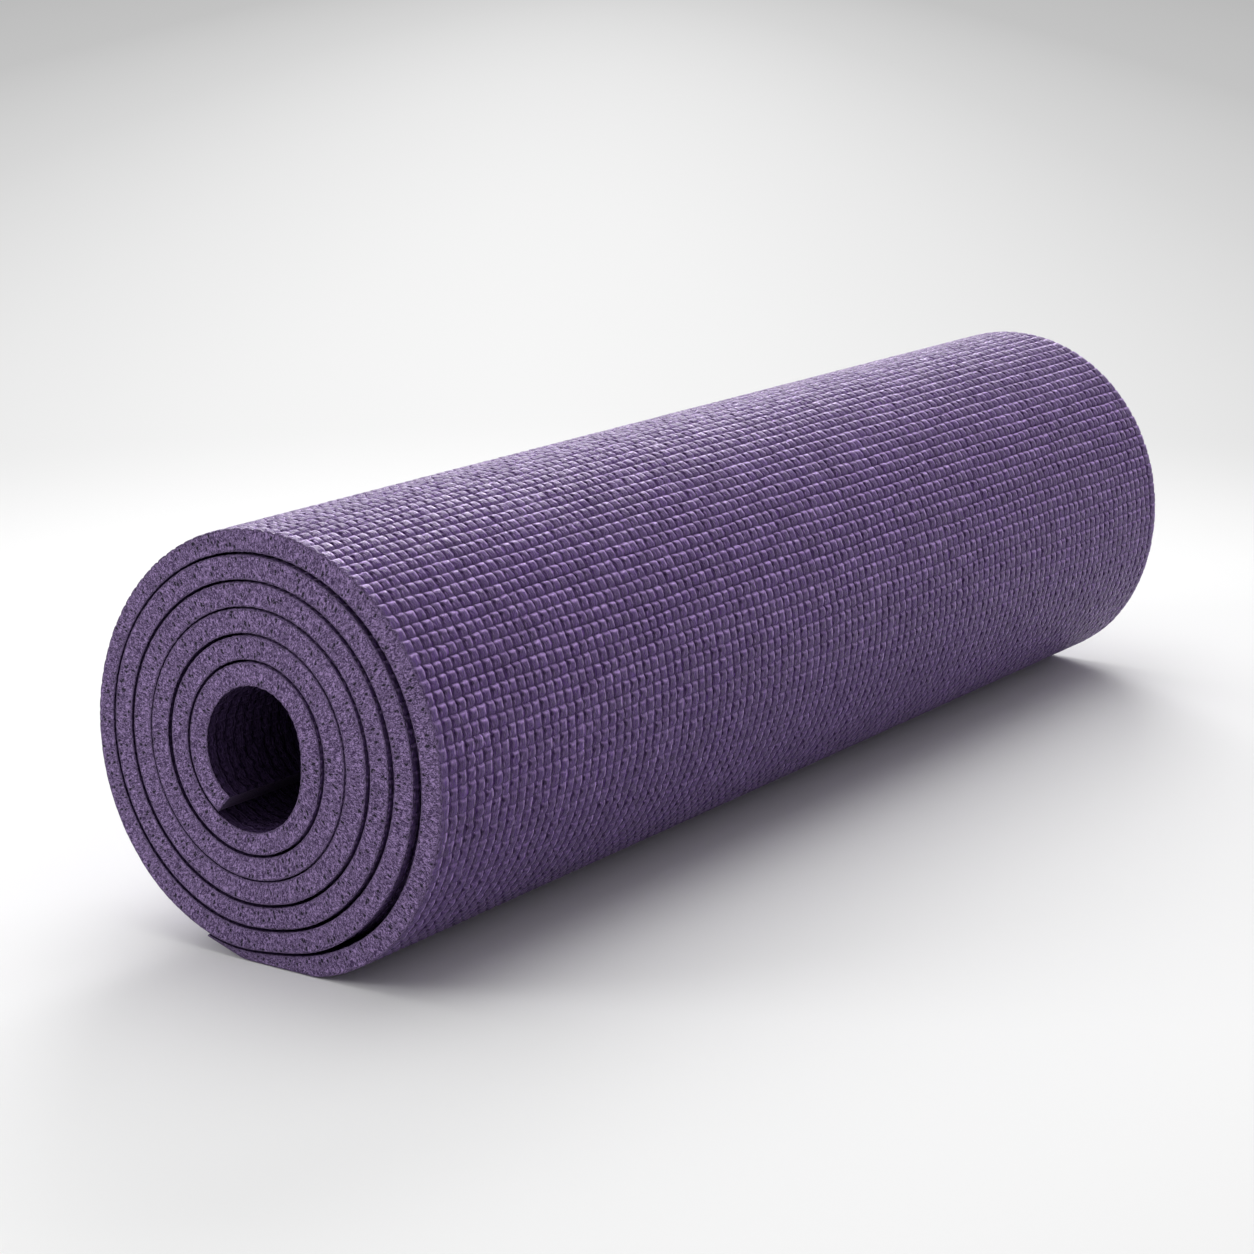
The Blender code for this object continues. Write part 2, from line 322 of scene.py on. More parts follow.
@dataclass(frozen=True)
class Relief:
    """The embossed weave of one face: rows of knuckles that run along the roll.

    Depths and reaches are in metres, and places and spreads are shares of a row or of a knuckle. A
    wave has its share, its pace along the roll and its shift from row to row. A chance has its
    name, its salt and the range of its values.
    """

    seed: int
    salt_step: int = 97
    rows: int = 417
    cells: int = 113
    row_depth: float = 0.00090
    cell_depth: float = 0.00080
    pit_depth: float = 0.00080
    crown: float = 0.00016
    rough: float = 0.00008
    lip: float = 0.00020
    lip_level: float = 0.6
    lip_places: Pair = (0.18, 0.80)
    lip_spread: float = 0.10
    lip_start: Pair = (0.10, 0.35)
    leg_start: Pair = (0.02, 0.20)
    leg_end: Pair = (0.60, 1.00)
    steep: float = 0.13
    gentle: float = 0.24
    crossing: float = 0.5
    pit_place: float = 0.14
    pit_spread: float = 0.13
    drift: float = 0.13
    wander: float = 0.08
    waves: tuple[Triple, ...] = ((0.6, 41, 0.53), (0.4, 118, 1.7))
    rim_share: float = 0.58
    rim_reach: float = 0.0035
    rim_rows: float = 0.45
    rim_cut: Pair = (0.12, 0.80)
    full_thickness: float = 0.0085
    thin_share: float = 0.2
    fused_share: float = 0.05
    fused_depth: float = 0.25
    low_rows: float = 0.18
    low_from: float = math.radians(45)
    low_to: float = math.radians(-25)
    chances: tuple[tuple[str, int, float, float], ...] = (
        ("fused", 5, 0, 1), ("cell", 2, 0.60, 1.25), ("row", 1, 0.50, 1.15), ("pit", 3, 0, 1),
        ("crown", 4, 0.2, 1.8), ("lip", 7, 0.2, 1.3), ("drift", 6, -1, 1),
    )

    def table(self, salt: int, low: float, high: float) -> Array:
        """A random value for each knuckle, even between low and high."""
        draw = np.random.default_rng(self.seed * self.salt_step + salt)
        return low + (high - low) * draw.random((self.rows + 1, self.cells + 1))

    @cached_property
    def tables(self) -> dict[str, Array]:
        """The random values of all knuckles.

        Returns:
            A table for each name. Fused knuckles are shallow, and squares make most pits small.
        """
        tables = {name: self.table(*spread) for name, *spread in self.chances}
        fused = tables.pop("fused") < self.fused_share
        tables["cell"] = np.where(fused, self.fused_depth, 1) * tables["cell"]
        tables["pit"] = tables["pit"] ** 2
        return tables

    def groove(self, share: Array) -> Array:
        """A groove at both ends of a knuckle, 1 at share 0 or 1: steep after 0, gentle before 1."""
        after, before = smooth_step(share, 0, self.steep), smooth_step(1 - share, 0, self.gentle)
        return np.maximum(1 - after, 1 - before)

    def lip_at(self, row: Array, row_share: Array, cell: Array, cell_share: Array) -> Array:
        """The arch over a knuckle's upper edge and down its far one, as a share of its height.

        Args:
            row: row numbers, as a column.
            row_share: places across the row from 0 to 1, as a column.
            cell: knuckle numbers along the row.
            cell_share: places along the knuckle from 0 to 1.

        Returns:
            The greater of two bell curves, one about the upper place and one about the far place,
            each of which fades in from the first corner, times the knuckle's random value.
        """
        upper, far = self.lip_places
        over = np.exp(-(((row_share - upper) / self.lip_spread) ** 2))
        over = over * smooth_step(cell_share, *self.lip_start)
        down = np.exp(-(((cell_share - far) / self.lip_spread) ** 2))
        down = down * smooth_step(row_share, *self.leg_start)
        down = down * (1 - smooth_step(row_share, *self.leg_end))
        return np.maximum(over, down) * self.tables["lip"][row, cell]

    def depth(
        self, angle: Array, row: Array, row_share: Array, cell: Array, cell_share: Array
    ) -> Array:
        """How far each point lies under the crests, in metres.

        Args:
            angle: the direction in which each point faces: the row grooves are shallower low down.
            row: row numbers, as a column.
            row_share: places across the row from 0 to 1, as a column.
            cell: knuckle numbers along the row.
            cell_share: places along the knuckle from 0 to 1.

        Returns:
            Row groove plus the cross groove that fades in it, plus a pit near the knuckle's first
            corner as a bell curve, plus the fall of the crown from the knuckle's middle as one less
            the product of two half sines, plus a small random roughness that is none in the row
            groove, less the lip, and never under nought. At the rims, where the sheet is cut off,
            the outermost knuckles have no cross groove.
        """
        at = {name: values[row, cell] for name, values in self.tables.items()}
        inside = ((cell > 0) | (cell_share > 0.5)) & ((cell < self.cells - 1) | (cell_share < 0.5))
        along, across = self.groove(row_share), self.groove(cell_share) * inside
        swell = np.sin(np.pi * row_share) * np.sin(np.pi * cell_share)
        to_pit = (row_share - self.pit_place) ** 2 + (cell_share - self.pit_place) ** 2
        pit = np.exp(-to_pit / self.pit_spread ** 2) * (row_share > 0) * inside
        size = np.broadcast_shapes(row.shape, cell.shape)
        rough = np.random.default_rng(self.seed).normal(size=size) * np.sin(np.pi * row_share)
        return np.maximum(0, (
            self.row_depth * at["row"] * along * self.row_strength(angle)
            + self.cell_depth * at["cell"] * across * (1 - self.crossing * along)
            + self.pit_depth * at["pit"] * pit
            + self.crown * at["crown"] * (1 - swell)
            + self.rough * rough
            + self.lip * (self.lip_level - self.lip_at(row, row_share, cell, cell_share))
        ))

    def row_strength(self, angle: Array) -> Array:
        """How strong the row grooves are where a face looks this way: a smooth step down."""
        rise = np.arcsin(np.sin(angle))
        return 1 - (1 - self.low_rows) * smooth_step(-rise, -self.low_from, -self.low_to)

    def drift_along(self, row: Array, row_share: Array, cell: Array) -> Array:
        """How far a point slides along its row, in knuckles: at random, not in the row groove."""
        return self.drift * self.tables["drift"][row, cell] * np.sin(np.pi * row_share)

    def wander_round(self, row: Array, place: Array) -> Array:
        """How far a row strays sideways, in rows.

        Args:
            row: places in rows round the sheet.
            place: places along the roll.

        Returns:
            A weighed sum of sine waves along the roll that shift with the row.
        """
        return self.wander * sum(
            share * np.sin(place * pace + row * shift + number * self.seed)
            for number, (share, pace, shift) in enumerate(self.waves, 1)
        )

    def cut_place(self, cell: Array, cell_share: Array) -> Array:
        """The place in knuckles that the skin's material reads.

        Args:
            cell: knuckle numbers along the row.
            cell_share: places along the knuckle.

        Returns:
            Number plus share. On the outermost knuckles the share skips the edge that was cut off.
        """
        first, last = self.rim_cut
        at_last = np.where(cell == self.cells - 1, last * cell_share, cell_share)
        return cell + np.where(cell == 0, first + (1 - first) * cell_share, at_last)


@dataclass(frozen=True)
class Section:
    """The loop section of the sheet: where its points lie along each face and over each cut end."""

    half_width: float = 0.305
    edge: float = 0.00022
    edge_middle: float = 0.3
    end_shares: tuple[float, ...] = (0.0, 0.06, 0.35, 0.65, 0.94, 1.0)
    thickness: float = 0.0098
    fine_cells: int = 2
    hidden_stride: int = 16

    def cell_edges(self, cells: int) -> Array:
        """Where the knuckles begin along the roll: at even steps from rim to rim."""
        return (2 * np.arange(cells + 1) / cells - 1) * (self.half_width - self.edge)

    def places(self, detail: Detail, cells: int) -> tuple[Array, Array]:
        """The places along the roll at which a face has points.

        Args:
            detail: how finely the face is divided.
            cells: how many knuckles a row has.

        Returns:
            Knuckle numbers and shares. A hidden face keeps a few of them and those at its rims.
        """
        shares = np.array(detail.value)
        cell = np.repeat(np.arange(cells), len(shares))
        share = np.tile(shares, cells)
        if detail is Detail.HIDDEN:
            near = (cell < self.fine_cells) | (cell >= cells - self.fine_cells)
            sparse = (cell % self.hidden_stride == 0) & (share == shares[1])
            cell, share = cell[near | sparse], share[near | sparse]
        return np.append(cell, cells - 1), np.append(share, 1.0)


WINDING = Winding()
SECTION = Section()
RELIEFS = {Face.GROUND: Relief(seed=3), Face.PRACTICE: Relief(seed=8)}


class Graph:
    """A short way to place and join shader nodes in one tree."""

    def __init__(self, tree: NodeTree) -> None:
        """Keeps the tree to place the nodes in."""
        self.tree = tree

    def add(self, kind: str, **settings: object) -> Node:
        """Adds a node.

        Args:
            kind: the node's type.
            settings: values of its properties by name.

        Returns:
            The node.
        """
        node = self.tree.nodes.new(kind)
        for name, value in settings.items():
            setattr(node, name, value)
        return node

    def join(self, source: object, target: Socket) -> None:
        """Links an output to an input, or sets the input to a plain number or colour.

        Args:
            source: an output, a number or three numbers.
            target: the input.
        """
        if isinstance(source, Socket):
            self.tree.links.new(source, target)
        elif isinstance(source, tuple):
            target.default_value = (*source, 1) if len(target.default_value) == 4 else source
        else:
            target.default_value = source

    def ramp(self, value: Socket, *stops: Pair) -> Socket:
        """A grey curve through some stops.

        Args:
            value: what the curve reads.
            stops: places, each with its level.

        Returns:
            The level at the value, on straight lines from stop to stop.
        """
        node = self.add("ShaderNodeValToRGB")
        elements = node.color_ramp.elements
        while len(elements) < len(stops):
            elements.new(0.5)
        for element, (place, level) in zip(elements, stops):
            element.position = place
            element.color = (level, level, level, 1)
        self.join(value, node.inputs["Fac"])
        return node.outputs["Color"]

    def vector(self, operation: str, *values: object) -> Socket:
        """One step of vector arithmetic.

        Args:
            operation: its name.
            values: sockets or triples of numbers.

        Returns:
            The result.
        """
        node = self.add("ShaderNodeVectorMath", operation=operation)
        for value, socket in zip(values, node.inputs):
            self.join(value, socket)
        return node.outputs["Value" if operation == "LENGTH" else "Vector"]

    def split(self, vector: Socket) -> tuple[Socket, Socket, Socket]:
        """Takes a vector apart.

        Args:
            vector: the vector's socket.

        Returns:
            Its x, y and z.
        """
        node = self.add("ShaderNodeSeparateXYZ")
        self.join(vector, node.inputs[0])
        return tuple(node.outputs)

    def noise(self, vector: Socket, scale: object, detail: float, twist: float = 0.0) -> Node:
        """A noise texture.

        Args:
            vector: where the noise is read.
            scale: a socket or a number.
            detail: how many finer noises lie in it.
            twist: its distortion.

        Returns:
            The node.
        """
        node = self.add("ShaderNodeTexNoise")
        for name, value in (("Scale", scale), ("Detail", detail), ("Distortion", twist)):
            self.join(value, node.inputs[name])
        self.join(vector, node.inputs["Vector"])
        return node

    def mix(self, share: object, first: object, second: object, mode: str = "MIX") -> Socket:
        """Mixes two colours.

        Args:
            share: the second colour's share.
            first: a socket or a colour.
            second: a socket or a colour.
            mode: the kind of mixing.

        Returns:
            The mixed colour.
        """
        node = self.add("ShaderNodeMix", data_type="RGBA", blend_type=mode)
        colours = [socket for socket in node.inputs if socket.type == "RGBA"]
        for value, socket in zip((share, first, second), (node.inputs["Factor"], *colours)):
            self.join(value, socket)
        return next(socket for socket in node.outputs if socket.type == "RGBA")

    def math(self, operation: str, *values: object) -> Socket:
        """One step of arithmetic.

        Args:
            operation: its name.
            values: sockets or numbers.

        Returns:
            The result.
        """
        node = self.add("ShaderNodeMath", operation=operation)
        for value, socket in zip(values, node.inputs):
            self.join(value, socket)
        return node.outputs[0]

    def product(self, first: object, *others: object) -> Socket:
        """Multiplies values.

        Args:
            first: a socket or a number.
            others: more of them.

        Returns:
            The product.
        """
        for value in others:
            first = self.math("MULTIPLY", first, value)
        return first

    def bell(self, value: Socket, centre: float, spread: float) -> Socket:
        """A bell curve: e to the minus square of the way from the centre over the spread."""
        away = self.math("DIVIDE", self.math("SUBTRACT", value, centre), spread)
        return self.math("EXPONENT", self.product(away, away, -1.0))

    def step(self, value: Socket, start: float, end: float) -> Socket:
        """A smooth step.

        Args:
            value: what the step reads.
            start: where it leaves 0.
            end: where it reaches 1.

        Returns:
            3 t squared less 2 t cubed, where t is the share of the way.
        """
        node = self.add("ShaderNodeMapRange", interpolation_type="SMOOTHSTEP")
        self.join(value, node.inputs["Value"])
        self.join(start, node.inputs["From Min"])
        self.join(end, node.inputs["From Max"])
        return node.outputs["Result"]


def group(
    name: str, inputs: dict[str, str], outputs: tuple[str, ...]
) -> tuple[Graph, dict[str, Socket], Node]:
    """Starts a shader node group with named sockets.

    Args:
        name: the group's name.
        inputs: kinds of the inputs by name.
        outputs: names of the outputs, all of them values.

    Returns:
        The graph, its input sockets by name and its output node.
    """
    tree = bpy.data.node_groups.new(name, "ShaderNodeTree")
    for socket, kind in inputs.items():
        tree.interface.new_socket(socket, in_out="INPUT", socket_type=kind)
    for socket in outputs:
        tree.interface.new_socket(socket, in_out="OUTPUT", socket_type="NodeSocketFloat")
    graph = Graph(tree)
    given = graph.add("NodeGroupInput")
    return graph, {socket: given.outputs[socket] for socket in inputs}, graph.add("NodeGroupOutput")


@dataclass(frozen=True)
class Grain:
    """The grain of the foam as a shader node group.

    Each noise has its name, its share of the scale, its detail and its distortion.
    """

    name: str = "foam_grain"
    noises: tuple[tuple[str, float, float, float], ...] = (
        ("Fine", 1.0, 3.0, 0.0), ("Worms", 0.62, 1.0, 1.6), ("Slow", 0.018, 2.0, 0.0),
    )

    def build(self) -> NodeTree:
        """Makes the group once.

        Returns:
            The group: three noises on the vector, each at its share of the scale.
        """
        if self.name in bpy.data.node_groups:
            return bpy.data.node_groups[self.name]
        inputs = {"Vector": "NodeSocketVector", "Scale": "NodeSocketFloat"}
        graph, given, out = group(self.name, inputs, tuple(noise[0] for noise in self.noises))
        for output, share, detail, twist in self.noises:
            scale = graph.math("MULTIPLY", given["Scale"], share)
            noise = graph.noise(given["Vector"], scale, detail, twist)
            graph.join(noise.outputs["Fac"], out.inputs[output])
        return graph.tree


@dataclass(frozen=True)
class Knuckle:
    """The fine shape of one knuckle as a shader node group, on a vector of rows and knuckles:
    its painted highlights, its painted shade, its random tone and its strands.

    Pairs are the place and spread of a bell curve, the start and end of a step, or a level and the
    range that chance adds to it.
    """

    name: str = "knuckle_detail"
    stray: float = 0.30
    stray_scale: float = 1.7
    stray_detail: float = 2.0
    highlight_arch: Pair = (0.14, 0.12)
    arch_start: Pair = (0.08, 0.30)
    highlight_arch_weight: float = 0.55
    fading: Pair = (0.50, 0.95)
    far_highlight: Pair = (0.82, 0.10)
    far_highlight_weight: float = 0.40
    near_highlight: Pair = (0.22, 0.05)
    near_highlight_weight: float = 0.8
    pit: Pair = (0.34, 0.19)
    pit_side: Pair = (0.17, 0.14)
    pit_shade_weight: float = 0.45
    line: float = 0.12
    groove_shade_weight: float = 0.8
    under: Pair = (0.88, 1.0)
    under_shade_weight: float = 0.6
    strands: Triple = (1.3, 13.0, 1.0)
    strand_step: Pair = (0.34, 0.66)
    shade: Pair = (0.58, 1.06)
    shade_run: float = 0.75
    shade_chance: Pair = (0.86, 0.28)

    def build(self) -> NodeTree:
        """Makes the group once.

        Returns:
            The group. Its lip, a painted highlight, is the greatest of bell curves about the upper,
            the far and the near edge. Its pit, painted shade, is the product of two bell curves
            near the first corner, or the painted shade of a dark line along the groove or of a dark
            band along the knuckle's lower edge. Noise strays the places, and a random colour for
            each knuckle weighs each of them. The input Rows weighs what runs along the rows. The
            tint, painted shade times a random tone for each knuckle, rises along the knuckle from
            its near edge, and the strands are a noise drawn out across it.
        """
        if self.name in bpy.data.node_groups:
            return bpy.data.node_groups[self.name]
        inputs = {"Vector": "NodeSocketVector", "Rows": "NodeSocketFloat"}
        graph, given, out = group(self.name, inputs, ("Lip_Highlight", "Pit_And_Groove_Shade", "Strands", "Tint"))
        noise = graph.noise(given["Vector"], self.stray_scale, self.stray_detail)
        reach, back = (self.stray, self.stray, 0.0), (-self.stray / 2, -self.stray / 2, 0.0)
        shift = graph.vector("MULTIPLY_ADD", noise.outputs["Color"], reach, back)
        moved = graph.vector("ADD", given["Vector"], shift)
        chance = graph.add("ShaderNodeTexWhiteNoise", noise_dimensions="2D")
        graph.join(graph.vector("FLOOR", moved), chance.inputs["Vector"])
        first, second, third = graph.split(chance.outputs["Color"])
        round_share, along_share, _ = graph.split(graph.vector("FRACTION", moved))

        # painted highlights: an arch over the knuckle's upper edge and lines down its far and near
        # edges
        fading = graph.math("SUBTRACT", 1.0, graph.step(round_share, *self.fading))
        highlight_arch = graph.product(
            graph.bell(round_share, *self.highlight_arch), graph.step(along_share, *self.arch_start),
            given["Rows"], graph.math("ADD", self.highlight_arch_weight, first),
        )
        far = graph.product(
            graph.bell(along_share, *self.far_highlight), fading,
            graph.math("ADD", self.far_highlight_weight, second),
        )
        near = graph.product(
            graph.bell(along_share, *self.near_highlight), fading, third, self.near_highlight_weight
        )
        lip = graph.math("MAXIMUM", highlight_arch, graph.math("MAXIMUM", far, near))

        # painted shade: a dark pit near the first corner, a dark line along the groove at the near
        # edge and a dark band along the lower edge, the band weighed by Rows
        pit = graph.product(
            graph.bell(round_share, *self.pit), graph.bell(along_share, *self.pit_side),
            graph.math("ADD", self.pit_shade_weight, third),
        )
        line = graph.math("SUBTRACT", 1.0, graph.step(along_share, 0.0, self.line))
        under = graph.step(round_share, *self.under)
        dark = graph.math(
            "MAXIMUM", graph.product(line, self.groove_shade_weight),
            graph.product(under, given["Rows"], self.under_shade_weight),
        )

        stretched = graph.vector("MULTIPLY", moved, self.strands)
        strands = graph.step(graph.noise(stretched, 1.0, 1.0).outputs["Fac"], *self.strand_step)
        # painted shade: darker at the knuckle's near edge and lighter along it, times a random tone
        # for each knuckle
        low, high = self.shade
        shade = graph.step(along_share, 0.0, self.shade_run)
        shade = graph.math("MULTIPLY_ADD", shade, high - low, low)
        level, spread = self.shade_chance
        tone_and_shade = graph.product(shade, graph.math("MULTIPLY_ADD", first, spread, level))
        pit = graph.math("MAXIMUM", pit, dark)
        for name, value in (("Lip_Highlight", lip), ("Pit_And_Groove_Shade", pit), ("Strands", strands), ("Tint", tone_and_shade)):
            graph.join(value, out.inputs[name])
        return graph.tree


class Finish(Graph):
    """The graph of one material, with its Principled shader."""

    def __init__(self, name: str) -> None:
        """Makes the material.

        Args:
            name: the material's name.
        """
        self.material = bpy.data.materials.new(name)
        self.material.use_nodes = True
        super().__init__(self.material.node_tree)
        self.shader = self.tree.nodes["Principled BSDF"]

    def surface(self, colour: object, **settings: object) -> None:
        """Joins the base colour and sets the shader's plain values.

        Args:
            colour: a socket or a colour.
            settings: values by name, with _ for a space.
        """
        self.join(colour, self.shader.inputs["Base Color"])
        for name, value in settings.items():
            self.shader.inputs[name.replace("_", " ")].default_value = value

    def bump(self, height: Socket, distance: float) -> None:
        """Feeds a height into a Bump node and that into the shader's normal.

        Args:
            height: the height's socket.
            distance: how high a height of 1 stands.
        """
        node = self.add("ShaderNodeBump")
        node.inputs["Distance"].default_value = distance
        self.join(height, node.inputs["Height"])
        self.join(node.outputs["Normal"], self.shader.inputs["Normal"])

    def place(self, tree: NodeTree, **inputs: object) -> Node:
        """Places a node group.

        Args:
            tree: the group.
            inputs: sockets or values by name.

        Returns:
            The group's node.
        """
        node = self.add("ShaderNodeGroup")
        node.node_tree = tree
        for name, value in inputs.items():
            self.join(value, node.inputs[name])
        return node


@dataclass(frozen=True)
class SkinFinish:
    """The skin of the foam: matte, with a painted highlight on the knuckles' lips and painted shade
    down in the grooves and pits.
    """

    name: str = "foam_skin"
    crest: Triple = (0.066, 0.026, 0.148)
    # painted highlight colour of the knuckles' lips
    lip: Triple = (0.620, 0.400, 0.890)
    # painted shade colour down in the grooves and pits
    groove: Triple = (0.014, 0.005, 0.032)
    roughness: Pair = (0.34, 0.95)
    specular: float = 0.70
    specular_tint: Triple = (0.73, 0.44, 1.0)
    sheen: float = 0.12
    sheen_roughness: float = 0.4
    sheen_tint: Triple = (0.85, 0.72, 1.0)
    # groove depths over which the painted groove shade fades in
    sunk: Pair = (0.34, 0.95)
    strand_levels: Pair = (0.55, 1.50)
    grain_scale: float = 1500.0
    grain_span: Pair = (0.32, 0.68)
    grain_levels: tuple[tuple[str, float, float], ...] = (
        ("Fine", 0.84, 1.16), ("Slow", 0.94, 1.05),
    )
    height: float = 0.00100
    strand_height: float = -0.36
    worm_height: float = -0.45

    def build(self) -> Material:
        """Makes the skin material.

        Returns:
            A material whose colour goes from crest to a painted highlight on the lips and to
            painted shade in the grooves and pits, by the knuckle group and the mesh's own depth,
            times the knuckle's random tone and painted shade, tinted by the grain. The mesh raises
            the lips, and the bump falls towards them, so that the slope below each lip looks up and
            is lit.
        """
        finish = Finish(self.name)
        depth = finish.add("ShaderNodeAttribute", attribute_name="groove_depth")
        rows = finish.add("ShaderNodeAttribute", attribute_name="row_strength")
        sheet = finish.add("ShaderNodeUVMap", uv_map="sheet")
        weave = finish.add("ShaderNodeUVMap", uv_map="knuckles")
        grain = finish.place(Grain().build(), Vector=sheet.outputs["UV"], Scale=self.grain_scale)
        knuckle = finish.place(
            Knuckle().build(), Vector=weave.outputs["UV"], Rows=rows.outputs["Fac"]
        )
        lip, pit = knuckle.outputs["Lip_Highlight"], knuckle.outputs["Pit_And_Groove_Shade"]

        low, high = self.strand_levels
        streaks = finish.ramp(knuckle.outputs["Strands"], (0.0, low), (1.0, high))
        # the crest times the knuckle's random tone and painted shade
        colour = finish.mix(1.0, self.crest, knuckle.outputs["Tint"], "MULTIPLY")
        # painted highlight: the lip colour laid over the lips
        colour = finish.mix(lip, finish.mix(1.0, colour, streaks, "MULTIPLY"), self.lip)
        # painted shade: deeper points and the knuckle's pits, lines and lower bands go towards the
        # groove colour
        start, end = self.sunk
        sunk = finish.ramp(depth.outputs["Fac"], (start, 0.0), (end, 1.0))
        dark = finish.math("MAXIMUM", sunk, pit)
        colour = finish.mix(dark, colour, self.groove)
        start, end = self.grain_span
        for output, low, high in self.grain_levels:
            level = finish.ramp(grain.outputs[output], (start, low), (end, high))
            colour = finish.mix(1.0, colour, level, "MULTIPLY")
        finish.surface(
            colour, Specular_IOR_Level=self.specular, Specular_Tint=(*self.specular_tint, 1),
            Sheen_Weight=self.sheen, Sheen_Roughness=self.sheen_roughness,
            Sheen_Tint=(*self.sheen_tint, 1),
        )
        crest, groove = self.roughness
        rough = finish.math("MULTIPLY_ADD", dark, groove - crest, crest)
        finish.join(rough, finish.shader.inputs["Roughness"])
        slope = finish.math("SUBTRACT", pit, lip)
        slope = finish.math("MULTIPLY_ADD", knuckle.outputs["Strands"], self.strand_height, slope)
        slope = finish.math("MULTIPLY_ADD", grain.outputs["Worms"], self.worm_height, slope)
        finish.bump(slope, self.height)
        return finish.material


@dataclass(frozen=True)
class CutFinish:
    """The cut foam at the ends: worm-like cells, light and dark, and pores, painted near black as
    shade, in light rings.
    """

    light: Triple = (0.332, 0.226, 0.463)
    dark: Triple = (0.048, 0.023, 0.084)
    pore_shade: Triple = (0.010, 0.004, 0.022)
    worms: Pair = (0.41, 0.59)
    fine: tuple[Pair, Pair] = ((0.30, 0.78), (0.70, 1.20))
    ring: Pair = (-0.22, -0.06)
    ring_share: float = 0.5
    pore_edge: Pair = (-0.03, 0.03)
    pore_start: float = 0.24
    pore_size: float = 0.9
    cell_scale: float = 2000.0
    pore_scale: float = 430.0
    roughness: float = 0.75
    specular: float = 0.3
    height: float = 0.00035

    def build(self) -> Material:
        """Makes the cut foam material.

        Returns:
            A material that mixes light and dark by a distorted noise. A pore with a light ring lies
            wherever a Voronoi distance is less than a reach that a finer noise sets. The pore's
            near-black colour is painted shade.
        """
        finish = Finish("foam_cut")
        sheet = finish.add("ShaderNodeUVMap", uv_map="sheet")
        grain = finish.place(Grain().build(), Vector=sheet.outputs["UV"], Scale=self.cell_scale)
        start, end = self.worms
        worms = finish.ramp(grain.outputs["Worms"], (start, 0.0), (end, 1.0))
        colour = finish.mix(worms, self.dark, self.light)
        fine = finish.ramp(grain.outputs["Fine"], *self.fine)
        colour = finish.mix(1.0, colour, fine, "MULTIPLY")
        cells = finish.add("ShaderNodeTexVoronoi")
        cells.inputs["Scale"].default_value = self.pore_scale
        finish.join(sheet.outputs["UV"], cells.inputs["Vector"])
        reach = finish.math("SUBTRACT", grain.outputs["Fine"], self.pore_start)
        reach = finish.math("MULTIPLY", reach, self.pore_size)
        inside = finish.math("SUBTRACT", reach, cells.outputs["Distance"])
        ring = finish.math("MULTIPLY", finish.step(inside, *self.ring), self.ring_share)
        pores = finish.step(inside, *self.pore_edge)
        # painted shade: the pores go near black
        colour = finish.mix(pores, finish.mix(ring, colour, self.light), self.pore_shade)
        finish.surface(colour, Roughness=self.roughness, Specular_IOR_Level=self.specular)
        finish.bump(finish.math("SUBTRACT", worms, pores), self.height)
        return finish.material


@dataclass(frozen=True)
class ScrimFinish:
    """The woven scrim: polyester threads that cross over and under each other."""

    thread: Triple = (0.42, 0.38, 0.50)
    shadow: Triple = (0.12, 0.10, 0.16)
    pitch: float = 0.0025
    thread_edge: Pair = (0.1, 0.9)
    roughness: float = 0.85
    height: float = 0.0001

    def build(self) -> Material:
        """Makes the scrim material.

        Returns:
            A material with two sets of threads, each a sine wave across its own direction. The
            greater of the two shows.
        """
        finish = Finish("scrim_weave")
        place = finish.add("ShaderNodeTexCoord")
        x, y, z = finish.split(place.outputs["Object"])
        turns = FULL_CIRCLE / self.pitch
        along, across = (
            finish.math("SINE", finish.math("MULTIPLY", way, turns))
            for way in (y, finish.math("ADD", x, z))
        )
        threads = finish.math("MAXIMUM", along, across)
        start, end = self.thread_edge
        weave = finish.ramp(threads, (start, 0.0), (end, 1.0))
        finish.surface(finish.mix(weave, self.shadow, self.thread), Roughness=self.roughness)
        finish.bump(threads, self.height)
        return finish.material


